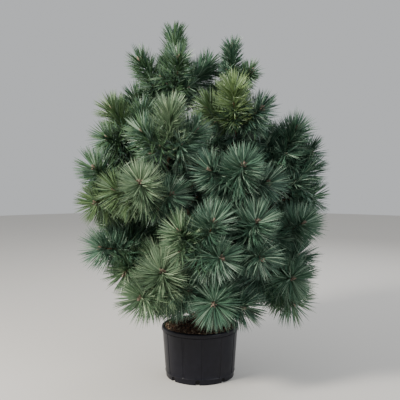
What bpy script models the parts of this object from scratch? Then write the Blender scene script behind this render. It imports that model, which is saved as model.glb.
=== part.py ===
"""A potted watereri scots pine: pot, compost, trunk, boughs and masses of needles.

Metres, +Z up. The origin is the centre of the pot's flat underside. A bearing of 0 degrees
points along -Y, to the side that the plant is seen from, and 90 degrees points along +X.
"""
import math
import random
from collections import namedtuple

import bmesh
import bpy
from mathutils import Vector

# Clearance between touching solids
GAP = 0.0003

# Nursery pot
POT_HEIGHT = 0.270
RIM_RADIUS = 0.205
RIM_BAND = 0.020
RIM_LIP = 0.004
RIM_STEP = 0.004
WALL_TOP_RADIUS = 0.199
WALL_FOOT_RADIUS = 0.184
BASE_RADIUS = 0.181
BASE_RING = 0.028
BASE_STEP = 0.0015
BASE_FLARE = 0.0006
POT_WALL = 0.0032
INNER_STEP = 0.001
PANELS = 12
PANEL_START = -27.0
GROOVE_DEPTH = 0.0022
GROOVE_WIDTH = 2.4
GROOVE_EDGE = 0.5
ANGLE_SLACK = 0.01

# Drain holes: their reach from the base radius inwards and outwards, and their chamfered head
DRAIN_HOLES = 8
DRAIN_START = -4.0
DRAIN_WIDTH = 0.021
DRAIN_HEIGHT = 0.024
DRAIN_HEAD = 0.6
DRAIN_BELOW = 0.005
DRAIN_INWARD = 0.024
DRAIN_OUTWARD = 0.020

# Compost and bark mulch in the pot: the mound's rings as shares of the radius and drops
SOIL_TOP = 0.268
MULCH_MOUND = 0.006
SOIL_SIDES = 36
SOIL_SHRINK = 0.9995
MOUND_RINGS = ((0.62, 0.002), (0.40, 0.0))

# Trunk: a slight lean to the left, with a root flare
TRUNK_SIDES = 12
TRUNK_RINGS = 14
RING_BUNCHING = 1.35
TRUNK_FOOT_RADIUS = 0.027
TRUNK_TOP_RADIUS = 0.0085
TRUNK_TAPER = 0.85
LEAN_CURVE = 1.25
FLARE_RADIUS = 0.018
FLARE_FADE = 0.0225
FLARE_LOBES = 5
FLARE_LOBED = 0.3
TRUNK_SWAY = 0.018
SWAY_ACROSS = 0.35
SWAY_FADE = 0.3

# Boughs
LIMB_SIDES = 6
LIMB_RINGS = 5
LIMB_FOOT_RADIUS = 0.0105
LIMB_TIP_RADIUS = 0.0062
LIMB_TAPER = 0.8
LIMB_DROP = 0.72
LIMB_BOW = 0.45
LOWEST_FOOT = 0.310
HIGHEST_FOOT = 1.300
NODE_BACK = 0.016

# Shoots: each mass is one terminal shoot with a whorl of side shoots at its foot
SHOOT_LENGTH = 0.235
LEADER_LENGTH = 0.365
SIDE_SHARE = 0.80
SIDE_ANGLE = 46.0
SIDE_CLOSING = 0.20
STEEP_RISE = 45.0
TWIG_RADIUS = 0.0044
BUD_LENGTH = 0.020

# Cores: a twig thickened in bands of flat sides, on which its needles stand. Each band has
# its start and end as shares of the shoot, and its needles' lean from the shoot in degrees.
CORE_SIDES = 5
CORE_RADIUS = 0.0125
CORE_END = 0.9
SHOOT_BANDS = ((0.48, 0.70, 68.0), (0.76, 0.97, 38.0))
LEADER_BANDS = ((0.20, 0.34, 62.0), (0.40, 0.55, 58.0), (0.61, 0.76, 52.0), (0.82, 0.97, 38.0))

# Needles, larger than life and few: each stands for a sheaf of real ones
NEEDLE_LENGTH = 0.138
LENGTH_SPREAD = (0.92, 1.05)
NEEDLE_WIDTH = 0.0130
NEEDLE_THICKNESS = 0.0055
NEEDLE_SINK = 0.85
SHORTEST_NEEDLE = 0.50
SHORTENING = 0.1
CLOSING = 0.75
NEEDLE_JITTER = 7.0
SPACE_SAMPLES = 9
SPACE_MARGIN = 0.0010
TRUNK_PARTS = 12

# A bough's tip: its bearing, its reach from the pot's axis and its height. Its terminal
# shoot: heading and rise. Its side shoots: the turn of the first one, and how many.
Bough = namedtuple("Bough", "name bearing reach height heading rise turn side_shoots")

# The side that was seen comes first.
BOUGHS = (
    Bough("low_front_left", -42, 0.269, 0.487, 1, 36, 250, 3),
    Bough("low_left", -71, 0.309, 0.683, -57, 7, 35, 2),
    Bough("low_front", 24, 0.208, 0.48, -5, 0, 255, 1),
    Bough("low_right", 82, 0.374, 0.533, 20, 9, 80, 3),
    Bough("front_right", 35, 0.34, 0.731, 20, 36, 10, 2),
    Bough("front", 0, 0.33, 0.686, 24, 51, 70, 3),
    Bough("right", 81, 0.367, 0.729, 43, 26, 100, 2),
    Bough("front_left", -50, 0.341, 0.93, -4, 30, 85, 2),
    Bough("left", -76, 0.414, 0.956, -37, 40, 5, 2),
    Bough("high_right", 90, 0.409, 0.932, 82, 47, 20, 2),
    Bough("high_front_right", 30, 0.322, 1.003, 10, 32, 75, 2),
    Bough("upper_right", 90, 0.397, 1.105, 42, 56, 60, 2),
    Bough("upper_front", -29, 0.319, 1.147, 11, 70, 90, 2),
    Bough("upper_left", -81, 0.317, 1.204, -78, 55, 212, 3),
    Bough("shoulder_front", 56, 0.213, 1.289, -7, 55, 85, 2),
    Bough("second_leader", 101, 0.16, 1.491, 4, 68, 225, 1),
    Bough("low_back_right", 125, 0.25, 0.51, 125, 15, 60, 3),
    Bough("low_back", 180, 0.24, 0.52, 180, 15, 0, 3),
    Bough("low_back_left", 235, 0.25, 0.49, 235, 10, 60, 3),
    Bough("back_right", 110, 0.35, 0.8, 110, 25, 0, 3),
    Bough("back_mid_right", 150, 0.34, 0.76, 150, 30, 60, 3),
    Bough("back_mid_left", 204, 0.34, 0.74, 204, 25, 0, 3),
    Bough("back_left", 254, 0.30, 0.81, 254, 30, 60, 3),
    Bough("high_back_right", 126, 0.34, 1.09, 126, 45, 0, 2),
    Bough("high_back", 180, 0.33, 1.037, 180, 45, 60, 2),
    Bough("high_back_left", 224, 0.31, 1.13, 224, 50, 0, 2),
    Bough("upper_back_right", 150, 0.21, 1.31, 150, 60, 0, 2),
    Bough("upper_back_left", -109, 0.33, 1.247, -8, 64, 55, 2),
)
LEADER = Bough("leader", -95, 0.142, 1.412, 80, 88, 20, 4)

# Colours, with roughness
POT_COLOUR = (0.028, 0.030, 0.033)
SOIL_COLOUR = (0.075, 0.042, 0.026)
BARK_COLOUR = (0.150, 0.088, 0.055)
NEEDLE_COLOUR = (0.060, 0.120, 0.062)


def material(name, colour, roughness):
    """A plain Principled material."""
    made = bpy.data.materials.new(name)
    made.use_nodes = True
    shader = made.node_tree.nodes["Principled BSDF"]
    shader.inputs["Base Color"].default_value = (*colour, 1.0)
    shader.inputs["Roughness"].default_value = roughness
    shader.inputs["Metallic"].default_value = 0.0
    return made


def add_object(name, mesh, finish=None):
    """An object for a mesh, in the scene, with its material."""
    made = bpy.data.objects.new(name, mesh)
    bpy.context.scene.collection.objects.link(made)
    if finish is not None:
        mesh.materials.append(finish)
    return made


def smooth(thing, angle=40.0):
    """Smooth shading, kept sharp at the corners."""
    thing.data.shade_smooth()
    thing.data.set_sharp_from_angle(angle=math.radians(angle))


def mesh_of_rings(name, rings, closed_tip=None, split=False):
    """A closed skin over rings of points, with flat ends or a point at the far end. Its
    twisted four-sided faces can be split, so that a cutter of the same rings fits it."""
    shape = bmesh.new()
    rows = [[shape.verts.new(point) for point in ring] for ring in rings]
    count = len(rows[0])
    for low, high in zip(rows, rows[1:]):
        for here in range(count):
            after = (here + 1) % count
            shape.faces.new((low[here], low[after], high[after], high[here]))
    shape.faces.new(list(reversed(rows[0])))
    if closed_tip is None:
        shape.faces.new(rows[-1])
    else:
        tip = shape.verts.new(closed_tip)
        for here in range(count):
            shape.faces.new((rows[-1][here], rows[-1][(here + 1) % count], tip))
    bmesh.ops.recalc_face_normals(shape, faces=shape.faces)
    if split:
        bmesh.ops.triangulate(shape, faces=shape.faces, quad_method="FIXED")
    mesh = bpy.data.meshes.new(name)
    shape.to_mesh(mesh)
    shape.free()
    return mesh


def direction(bearing, rise):
    """The unit vector of a bearing and a rise, both in degrees."""
    flat = math.cos(math.radians(rise))
    turn = math.radians(bearing)
    return Vector((flat * math.sin(turn), -flat * math.cos(turn), math.sin(math.radians(rise))))


def side_axes(along):
    """Two unit vectors square to a direction: one level, one over it."""
    level = along.cross(Vector((0.0, 0.0, 1.0)))
    if level.length < 1e-6:
        level = Vector((1.0, 0.0, 0.0))
    level.normalize()
    return level, level.cross(along)


def ring_round(centre, along, radius, sides, spin=0.0):
    """A ring of points round an axis."""
    level, over = side_axes(along)
    points = []
    for step in range(sides):
        angle = spin + 2.0 * math.pi * step / sides
        points.append(centre + radius * (math.cos(angle) * level + math.sin(angle) * over))
    return points


def apply_boolean(thing, operation, cutter=None, group=None):
    """Apply one exact Boolean, with a single cutter or a whole collection."""
    change = thing.modifiers.new("Boolean", "BOOLEAN")
    change.operation = operation
    change.solver = "EXACT"
    if group is None:
        change.object = cutter
    else:
        change.operand_type = "COLLECTION"
        change.collection = group
    bpy.context.view_layer.update()
    graph = bpy.context.evaluated_depsgraph_get()
    result = bpy.data.meshes.new_from_object(thing.evaluated_get(graph))
    thing.modifiers.clear()
    old = thing.data
    thing.data = result
    result.name = thing.name
    bpy.data.meshes.remove(old)


def discard(thing):
    """Remove an object with its mesh."""
    mesh = thing.data
    bpy.data.objects.remove(thing)
    bpy.data.meshes.remove(mesh)


def keep_largest_body(thing):
    """Fill sealed hollows and drop loose scraps: only the largest shell stays."""
    shape = bmesh.new()
    shape.from_mesh(thing.data)
    bmesh.ops.triangulate(shape, faces=shape.faces)
    waiting = set(shape.faces)
    shells = []
    while waiting:
        start = waiting.pop()
        shell, reached = {start}, [start]
        while reached:
            face = reached.pop()
            for edge in face.edges:
                for other in edge.link_faces:
                    if other in waiting:
                        waiting.remove(other)
                        shell.add(other)
                        reached.append(other)
        shells.append(shell)
    shells.sort(key=len, reverse=True)
    extra = [face for shell in shells[1:] for face in shell]
    if extra:
        bmesh.ops.delete(shape, geom=extra, context="FACES")
    shape.to_mesh(thing.data)
    shape.free()


# The pot

def groove_depth(angle):
    """How far the wall lies in at an angle in degrees: the grooves between its panels."""
    pitch = 360.0 / PANELS
    off = (angle - PANEL_START + pitch / 2.0) % pitch - pitch / 2.0
    return GROOVE_DEPTH if abs(off) < GROOVE_WIDTH / 2.0 + ANGLE_SLACK else 0.0


def pot_angles():
    """The angles of the pot's corners: four to a panel, at its grooves' edges and along it."""
    pitch = 360.0 / PANELS
    half = GROOVE_WIDTH / 2.0
    offsets = (-half, half, half + GROOVE_EDGE, pitch / 2.0, pitch - half - GROOVE_EDGE)
    return [PANEL_START + pitch * panel + off for panel in range(PANELS) for off in offsets]


def pot_ring(radius, height, grooved=False):
    """One ring of the pot's skin."""
    points = []
    for angle in pot_angles():
        reach = radius - (groove_depth(angle) if grooved else 0.0)
        points.append(direction(angle, 0.0) * reach + Vector((0.0, 0.0, height)))
    return points


def wall_radius(height):
    """The wall's outer radius at a height, between its base ring and its rim."""
    share = (height - BASE_RING) / (POT_HEIGHT - RIM_BAND - BASE_RING)
    return WALL_FOOT_RADIUS + share * (WALL_TOP_RADIUS - WALL_FOOT_RADIUS)


def inner_radius(height):
    """The inner radius at a height, one straight taper clear of the grooves."""
    top = WALL_TOP_RADIUS - GROOVE_DEPTH - POT_WALL
    foot = BASE_RADIUS - POT_WALL - INNER_STEP
    return foot + (top - foot) * height / POT_HEIGHT


def make_pot(finish):
    """A tapered pot with a rolled rim, panelled wall, base ring and drain holes."""
    rim_foot = POT_HEIGHT - RIM_BAND
    wall_top = rim_foot - RIM_STEP
    rings = [
        pot_ring(BASE_RADIUS, 0.0),
        pot_ring(BASE_RADIUS + BASE_FLARE, BASE_RING - BASE_STEP),
        pot_ring(wall_radius(BASE_RING), BASE_RING, grooved=True),
        pot_ring(wall_radius(wall_top), wall_top, grooved=True),
        pot_ring(RIM_RADIUS, rim_foot),
        pot_ring(RIM_RADIUS, POT_HEIGHT - RIM_LIP),
        pot_ring(RIM_RADIUS - RIM_LIP, POT_HEIGHT),
        pot_ring(inner_radius(POT_HEIGHT), POT_HEIGHT),
        pot_ring(inner_radius(POT_WALL), POT_WALL),
    ]
    pot = add_object("pot", mesh_of_rings("pot", rings), finish)
    for hole in range(DRAIN_HOLES):
        bearing = DRAIN_START + 360.0 * hole / DRAIN_HOLES
        cutter = drain_cutter(bearing)
        apply_boolean(pot, "DIFFERENCE", cutter=cutter)
        discard(cutter)
    smooth(pot)
    return pot


def drain_cutter(bearing):
    """A block with a rounded head that cuts one drain hole through the foot of the wall."""
    half = DRAIN_WIDTH / 2.0
    head = half * DRAIN_HEAD
    side_top = DRAIN_HEIGHT - head
    outline = [(-half, -DRAIN_BELOW), (half, -DRAIN_BELOW), (half, side_top)]
    outline += [(head, DRAIN_HEIGHT), (-head, DRAIN_HEIGHT), (-half, side_top)]
    out = direction(bearing, 0.0)
    across = direction(bearing + 90.0, 0.0)
    rings = []
    for reach in (BASE_RADIUS - DRAIN_INWARD, BASE_RADIUS + DRAIN_OUTWARD):
        rings.append([out * reach + across * x + Vector((0.0, 0.0, z)) for x, z in outline])
    return add_object("drain_cutter", mesh_of_rings("drain_cutter", rings))


def make_soil(finish):
    """The filling: compost up to a low mound of bark mulch, flat where the trunk stands."""
    foot = POT_WALL + GAP
    floor = inner_radius(foot) - GAP
    edge = SOIL_TOP - MULCH_MOUND
    sides = [(floor, foot), (inner_radius(edge) - 2.0 * GAP, edge)]
    sides += [(share * inner_radius(edge), SOIL_TOP - drop) for share, drop in MOUND_RINGS]
    rings = []
    shrink = math.cos(math.pi / (2.0 * PANELS)) * SOIL_SHRINK
    for radius, height in sides:
        ring = [direction(360.0 * step / SOIL_SIDES, 0.0) for step in range(SOIL_SIDES)]
        rings.append([point * radius * shrink + Vector((0.0, 0.0, height)) for point in ring])
    soil = add_object("soil", mesh_of_rings("soil", rings), finish)
    smooth(soil)
    return soil


# Trunk and boughs

def node_of(bough):
    """The node at a bough's tip, where its side shoots spring, and the terminal direction."""
    flat = direction(bough.bearing, 0.0) * bough.reach
    return flat + Vector((0.0, 0.0, bough.height)), direction(bough.heading, bough.rise)


def trunk_top():
    """The centre of the trunk's cut top, just under the leader's node."""
    node, along = node_of(LEADER)
    return node - along * (NODE_BACK + GAP / 2.0)


def trunk_centre(height):
    """The trunk's centre line: a lean with a gentle sway."""
    foot, top = SOIL_TOP + GAP, trunk_top()
    share = max(height - foot, 0.0) / (top.z - foot)
    lean = Vector((top.x, top.y, 0.0)) * share ** LEAN_CURVE
    sway = TRUNK_SWAY * math.sin(2.0 * math.pi * share) * (1.0 - SWAY_FADE * share)
    return lean + Vector((SWAY_ACROSS * sway, sway, height))


def trunk_radius(height, angle=0.0):
    """The trunk's radius at a height, with the lobes of the root flare at its foot."""
    foot, top = SOIL_TOP + GAP, trunk_top().z
    share = max(height - foot, 0.0) / (top - foot)
    plain = TRUNK_FOOT_RADIUS + (TRUNK_TOP_RADIUS - TRUNK_FOOT_RADIUS) * share ** TRUNK_TAPER
    flare = FLARE_RADIUS * math.exp(-(height - foot) / FLARE_FADE)
    return plain + flare * (1.0 - FLARE_LOBED + FLARE_LOBED * math.cos(FLARE_LOBES * angle))


def trunk_skin(extra=0.0):
    """The trunk's closed skin, grown by a clearance where boughs are cut back to it."""
    foot, top = SOIL_TOP + GAP, trunk_top()
    rings = []
    for step in range(TRUNK_RINGS):
        share = (step / (TRUNK_RINGS - 1)) ** RING_BUNCHING
        height = foot + share * (top.z - foot)
        centre = trunk_centre(height)
        ring = []
        for side in range(TRUNK_SIDES):
            angle = 2.0 * math.pi * side / TRUNK_SIDES
            radius = (trunk_radius(height, angle) + extra) / math.cos(math.pi / TRUNK_SIDES)
            ring.append(centre + radius * Vector((math.cos(angle), math.sin(angle), 0.0)))
        rings.append(ring)
    return mesh_of_rings("trunk", rings, split=True)


def limb_path(bough):
    """The limb's centre line, from inside the trunk to just short of its node."""
    node, along = node_of(bough)
    end = node - along * (NODE_BACK + GAP / 2.0)
    foot_height = min(max(bough.height - LIMB_DROP * bough.reach, LOWEST_FOOT), HIGHEST_FOOT)
    start = trunk_centre(foot_height)
    span = (end - start).length
    control = end - along * (LIMB_BOW * span)
    points = []
    for step in range(LIMB_RINGS):
        t = step / (LIMB_RINGS - 1)
        points.append(start * (1 - t) ** 2 + control * 2 * t * (1 - t) + end * t ** 2)
    return points


def path_directions(points, last):
    """The direction of a path at each of its points, ending in a given direction."""
    ways = [(points[1] - points[0]).normalized()]
    for before, after in zip(points, points[2:]):
        ways.append((after - before).normalized())
    ways.append(last)
    return ways


def limb_radius(share):
    """A limb's radius at a share of its length."""
    return LIMB_FOOT_RADIUS + (LIMB_TIP_RADIUS - LIMB_FOOT_RADIUS) * share ** LIMB_TAPER


def make_limb(bough, finish):
    """One tapering bough, cut back to 0.3 mm clear of the trunk."""
    points = limb_path(bough)
    ways = path_directions(points, node_of(bough)[1])
    rings = []
    for step, (point, way) in enumerate(zip(points, ways)):
        rings.append(ring_round(point, way, limb_radius(step / (LIMB_RINGS - 1)), LIMB_SIDES))
    name = "bough_" + bough.name
    limb = add_object(name, mesh_of_rings(name, rings), finish)
    cutter = add_object("trunk_cutter", trunk_skin(GAP))
    apply_boolean(limb, "DIFFERENCE", cutter=cutter)
    discard(cutter)
    keep_largest_body(limb)
    smooth(limb)
    return limb


# Shoots and needles

Shoot = namedtuple("Shoot", "mass foot tip foot_radius")


def side_angle(rise):
    """How far side shoots lean from their terminal shoot: less where that one is steep."""
    return SIDE_ANGLE - SIDE_CLOSING * max(rise - STEEP_RISE, 0.0)


def shoots_of(bough):
    """The terminal shoot of a mass and the whorl of side shoots at its foot."""
    node, along = node_of(bough)
    length = LEADER_LENGTH if bough is LEADER else SHOOT_LENGTH
    start = node - along * (NODE_BACK - GAP / 2.0)
    shoots = [Shoot(bough.name, start, node + along * length, LIMB_TIP_RADIUS)]
    level, over = side_axes(along)
    fan = math.radians(side_angle(bough.rise))
    for number in range(bough.side_shoots):
        turn = math.radians(bough.turn + 360.0 * number / bough.side_shoots)
        aside = math.cos(turn) * over + math.sin(turn) * level
        way = math.cos(fan) * along + math.sin(fan) * aside
        shoots.append(Shoot(bough.name, node, node + way * SIDE_SHARE * length, TWIG_RADIUS))
    return shoots


def distance_to_line(point, start, end):
    """The distance from a point to a straight line between two points."""
    span = end - start
    share = (point - start).dot(span) / span.length_squared
    return (point - start - span * min(max(share, 0.0), 1.0)).length


class Space:
    """The space round every mass, trunk and bough, so that needles keep to their own."""

    def __init__(self, boughs):
        self.shoots = [shoot for bough in boughs for shoot in shoots_of(bough)]
        self.limbs = []
        for bough in boughs:
            if bough is LEADER:
                continue
            points = limb_path(bough)
            for step, (start, end) in enumerate(zip(points, points[1:])):
                self.limbs.append((start, end, limb_radius(step / (LIMB_RINGS - 1))))
        foot = SOIL_TOP + GAP
        step_up = (trunk_top().z - foot) / TRUNK_PARTS
        heights = [foot + step_up * step for step in range(TRUNK_PARTS + 1)]
        for low, high in zip(heights, heights[1:]):
            self.limbs.append((trunk_centre(low), trunk_centre(high), trunk_radius(low)))

    def free(self, mass, point, radius):
        """Whether a ball lies in a mass's own space and clear of all limbs and the pot."""
        reach = radius + SPACE_MARGIN
        if point.z - reach < SOIL_TOP + MULCH_MOUND and point.xy.length - reach < RIM_RADIUS:
            return False
        own, other = math.inf, math.inf
        for shoot in self.shoots:
            away = distance_to_line(point, shoot.foot, shoot.tip)
            if shoot.mass == mass:
                own = min(own, away)
            else:
                other = min(other, away)
        if own + 2.0 * reach > other:
            return False
        return all(distance_to_line(point, start, end) > thick + reach
                   for start, end, thick in self.limbs)

    def needle_length(self, mass, root, way, length):
        """The longest length that keeps a needle in its space, or 0 where none does."""
        share = 1.0
        while share >= SHORTEST_NEEDLE:
            clear = True
            for step in range(1, SPACE_SAMPLES + 1):
                part = step / SPACE_SAMPLES
                radius = NEEDLE_WIDTH / 2.0 * (1.0 - part)
                if not self.free(mass, root + way * (length * share * part), radius):
                    clear = False
                    break
            if clear:
                return length * share
            share -= SHORTENING
        return 0.0


def bands_of(shoot):
    """The bands of a shoot's core: more on the leader, which is longer."""
    return LEADER_BANDS if (shoot.tip - shoot.foot).length > LEADER_LENGTH else SHOOT_BANDS


def spindle_mesh(shoot, roll):
    """A shoot's core: a bare twig, bands of flat sides turned by half a side each, and the bud."""
    along = (shoot.tip - shoot.foot).normalized()
    span = (shoot.tip - shoot.foot).length
    rings = [ring_round(shoot.foot, along, shoot.foot_radius, CORE_SIDES, roll)]
    bands = bands_of(shoot)
    for number, (start, end, _) in enumerate(bands):
        turn = roll + number * math.pi / CORE_SIDES
        radius = CORE_RADIUS * (CORE_END if number == len(bands) - 1 else 1.0)
        rings.append(ring_round(shoot.foot + along * span * start, along, CORE_RADIUS, CORE_SIDES, turn))
        rings.append(ring_round(shoot.foot + along * span * end, along, radius, CORE_SIDES, turn))
    return mesh_of_rings("spindle", rings, closed_tip=shoot.tip + along * BUD_LENGTH)


def needle_mesh(root, way, flat, length):
    """A needle: a thin three-sided spike, its root sunk in the core."""
    across = way.cross(flat).normalized()
    half = NEEDLE_WIDTH / 2.0
    low = root - flat * (NEEDLE_THICKNESS / 3.0)
    ring = [low + across * half, low - across * half, low + flat * NEEDLE_THICKNESS]
    return mesh_of_rings("needle", [ring], closed_tip=root + way * length)


def add_needles(shoot, roll, space, group, chance):
    """Stand needles on a core's flat sides, more upright towards its tip."""
    along = (shoot.tip - shoot.foot).normalized()
    span = (shoot.tip - shoot.foot).length
    level, over = side_axes(along)
    rise = math.degrees(math.asin(max(along.z, 0.0)))
    flat_radius = CORE_RADIUS * math.cos(math.pi / CORE_SIDES)
    for number, (start, end, lean) in enumerate(bands_of(shoot)):
        closing = CLOSING * rise * (1.0 - (start + end) / 2.0)
        for side in range(CORE_SIDES):
            turn = roll + math.pi * (number + 2 * side + 1) / CORE_SIDES
            tilt = math.radians(lean - closing + chance.uniform(-NEEDLE_JITTER, NEEDLE_JITTER))
            aside = math.cos(turn) * level + math.sin(turn) * over
            way = math.cos(tilt) * along + math.sin(tilt) * aside
            flat = (along - way * along.dot(way)).normalized()
            surface = shoot.foot + along * (span * (start + end) / 2.0) + aside * flat_radius
            root = surface - way * CORE_RADIUS * NEEDLE_SINK
            length = NEEDLE_LENGTH * chance.uniform(*LENGTH_SPREAD)
            length = space.needle_length(shoot.mass, root, way, length)
            if length > 0.0:
                needle = needle_mesh(root, way, flat, length)
                group.objects.link(bpy.data.objects.new("needle", needle))


def make_mass(bough, space, finish):
    """One mass of needles: stem, shoots and needles, joined in one closed body."""
    name = "needles_" + bough.name
    chance = random.Random(name)
    group = bpy.data.collections.new(name + "_parts")
    bpy.context.scene.collection.children.link(group)
    cores = []
    for shoot in shoots_of(bough):
        roll = chance.uniform(0.0, 2.0 * math.pi / CORE_SIDES)
        cores.append(spindle_mesh(shoot, roll))
        add_needles(shoot, roll, space, group, chance)
    mass = add_object(name, cores[0], finish)
    for core in cores[1:]:
        group.objects.link(bpy.data.objects.new("core", core))
    apply_boolean(mass, "UNION", group=group)
    for piece in list(group.objects):
        discard(piece)
    bpy.data.collections.remove(group)
    keep_largest_body(mass)
    smooth(mass, 50.0)
    return mass


def main():
    for thing in list(bpy.data.objects):
        bpy.data.objects.remove(thing)
    plastic = material("pot_plastic", POT_COLOUR, 0.45)
    mulch = material("bark_mulch", SOIL_COLOUR, 0.95)
    bark = material("bark", BARK_COLOUR, 0.90)
    needles = material("needles", NEEDLE_COLOUR, 0.60)
    make_pot(plastic)
    make_soil(mulch)
    add_object("trunk", trunk_skin(), bark)
    smooth(bpy.data.objects["trunk"])
    for bough in BOUGHS:
        make_limb(bough, bark)
    space = Space((LEADER,) + BOUGHS)
    for bough in (LEADER,) + BOUGHS:
        make_mass(bough, space, needles)


main()
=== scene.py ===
"""The looks of the potted scots pine: pot, mulch, bark, twigs, buds and needles.

Metres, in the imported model's frame. A bearing of 0 degrees points along -Y, to the side that
the plant is seen from, and 90 degrees points along +X.
"""
import math
import random
from collections import namedtuple

import bmesh
import bpy
import numpy as np
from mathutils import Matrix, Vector, noise

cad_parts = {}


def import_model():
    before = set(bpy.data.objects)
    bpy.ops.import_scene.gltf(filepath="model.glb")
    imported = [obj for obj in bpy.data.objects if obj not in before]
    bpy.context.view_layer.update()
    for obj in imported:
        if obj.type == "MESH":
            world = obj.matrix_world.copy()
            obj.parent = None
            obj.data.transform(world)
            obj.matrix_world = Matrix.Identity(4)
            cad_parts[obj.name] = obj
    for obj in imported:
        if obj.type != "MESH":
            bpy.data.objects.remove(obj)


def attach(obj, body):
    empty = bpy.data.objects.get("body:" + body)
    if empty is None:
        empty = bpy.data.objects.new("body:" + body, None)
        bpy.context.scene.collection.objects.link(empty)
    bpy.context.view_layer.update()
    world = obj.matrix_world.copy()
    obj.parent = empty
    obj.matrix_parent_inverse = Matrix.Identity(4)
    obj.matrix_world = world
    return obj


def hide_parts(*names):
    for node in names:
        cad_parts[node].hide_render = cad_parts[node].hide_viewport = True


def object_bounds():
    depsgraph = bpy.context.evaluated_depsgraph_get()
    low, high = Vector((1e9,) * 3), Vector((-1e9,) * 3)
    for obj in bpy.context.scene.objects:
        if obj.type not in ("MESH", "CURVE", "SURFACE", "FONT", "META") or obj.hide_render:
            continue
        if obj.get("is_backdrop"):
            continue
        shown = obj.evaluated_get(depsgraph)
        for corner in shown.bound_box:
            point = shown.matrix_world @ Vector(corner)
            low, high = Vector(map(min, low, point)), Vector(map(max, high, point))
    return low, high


# Camera, as the plant was seen
CAMERA_DISTANCE = 3.40
CAMERA_HEIGHT = 1.20
CAMERA_TILT = 4.5
FOCAL_PIXELS = 650.0
IMAGE_PIXELS = 400.0
SENSOR_MM = 36.0

# Pot
POT_HEIGHT = 0.270
RIM_RADIUS = 0.205
RIM_BAND = 0.020
WALL_TOP_RADIUS = 0.199
WALL_FOOT_RADIUS = 0.184
BASE_RADIUS = 0.181
BASE_RING = 0.028
POT_WALL = 0.0032
PANELS = 12
PANEL_START = -27.0
GROOVE_DEPTH = 0.0022
GROOVE_WIDTH = 2.4
DRAIN_HOLES = 8
DRAIN_START = -4.0
DRAIN_WIDTH = 0.021
DRAIN_HEIGHT = 0.024
DRAIN_BELOW = 0.004
DRAIN_INWARD = 0.024
DRAIN_OUTWARD = 0.020
DRAIN_STEPS = 8
DRAIN_SQUASH = 0.7
POT_STEPS = 480
POT_SHARP_ANGLE = 32.0
GROOVE_EDGE = 0.35
WALL_STEPS = 8
RIM_LIP = 0.0075
RIM_SLOPE = 0.0015
RIM_NECK, RIM_NECK_HEIGHT, RIM_NECK_EASE = 0.003, 0.0055, 0.0008
BEAD_OUT, BEAD_LOW, BEAD_HIGH, BEAD_UNDER = 0.0018, 0.0014, 0.0052, 0.0008
LIP_STEPS = 6
FOOT_BEVEL = 0.0015
INSIDE_TAPER, INSIDE_DEPTH, INSIDE_FLOOR_INSET = 0.0015, 0.03, 0.001

# Rounded edges of the pot's section, each point a step outward and a step upward from a corner
RING_EDGE = ((0.0004, -0.003), (0.0008, -0.001))
BAND_EDGE = ((-0.0022, 0.0), (-0.0004, 0.0006), (0.0, 0.002))
INNER_EDGE = ((0.002, 0.0), (0.0006, -0.0006), (0.0, -0.002))

# Mulch
SOIL_TOP = 0.268
MULCH_MOUND = 0.006
MULCH_CHIPS = 1800
MULCH_RINGS, MULCH_COLUMNS = 26, 140
MULCH_MOUND_RADIUS = 0.19
MULCH_CLEAR = 0.0042
MULCH_LUMP = 0.0035
MULCH_LUMP_SCALE = 26.0
MULCH_LUMP_LAYER = 3.7
MULCH_LUMP_NOISE = (0.8, 2.1, 4)
MULCH_FOOT = 0.006
MULCH_FOOT_SHARE = 0.93
COMPOST_DEPTH = 0.050
COMPOST_COLOUR = (0.006, 0.005, 0.005)
CHIP_CORNERS = 5
CHIP_LENGTHS = (0.004, 0.020)
CHIP_SMALLNESS = 1.8
CHIP_WIDTHS = (0.35, 0.8)
CHIP_THICKNESSES = (0.0012, 0.0035)
CHIP_TILT = 0.22
CHIP_RAGGED = (0.7, 1.15)
CHIP_INSET = 0.6
CHIP_SPIN = 6.3
CHIP_LIFTS = (0.1, 0.9)
CHIP_LEVELS = ((-0.5, 0.9), (0.2, 1.0), (0.5, 0.78))

# Bark bits: the piece's name, its dark and light colour and its share of all bits
CHIP_KINDS = (
    ("mulch_dark", (0.040, 0.024, 0.016), (0.130, 0.078, 0.050), 0.42),
    ("mulch_red", (0.100, 0.048, 0.028), (0.270, 0.140, 0.080), 0.40),
    ("mulch_pale", (0.260, 0.180, 0.115), (0.500, 0.390, 0.280), 0.18),
)
MULCH_DARK, MULCH_LIGHT = (0.040, 0.024, 0.015), (0.120, 0.072, 0.045)

# Trunk and boughs, by the same rule as the solids
GAP = 0.0003
TRUNK_FOOT_RADIUS = 0.027
TRUNK_TOP_RADIUS = 0.0085
TRUNK_TAPER = 0.85
FLARE_RADIUS = 0.018
FLARE_FADE = 0.0225
FLARE_LOBES = 5
FLARE_LOBED = 0.3
LEAN_CURVE = 1.25
TRUNK_SWAY = 0.018
SWAY_ACROSS = 0.35
SWAY_FADE = 0.3
LIMB_FOOT_RADIUS = 0.0105
LIMB_TIP_RADIUS = 0.0062
LIMB_TAPER = 0.8
LIMB_BOW = 0.45
LIMB_DROP = 0.72
LOWEST_FOOT = 0.310
HIGHEST_FOOT = 1.300
NODE_BACK = 0.016
TRUNK_SIDES, TRUNK_STEPS = 48, 320
TRUNK_SUNK = 0.004
TRUNK_SHORT = 0.002
LIMB_SIDES, LIMB_STEPS = 14, 70
LIMB_COLLAR = 0.006
LIMB_COLLAR_FADE = 16.0

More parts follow.
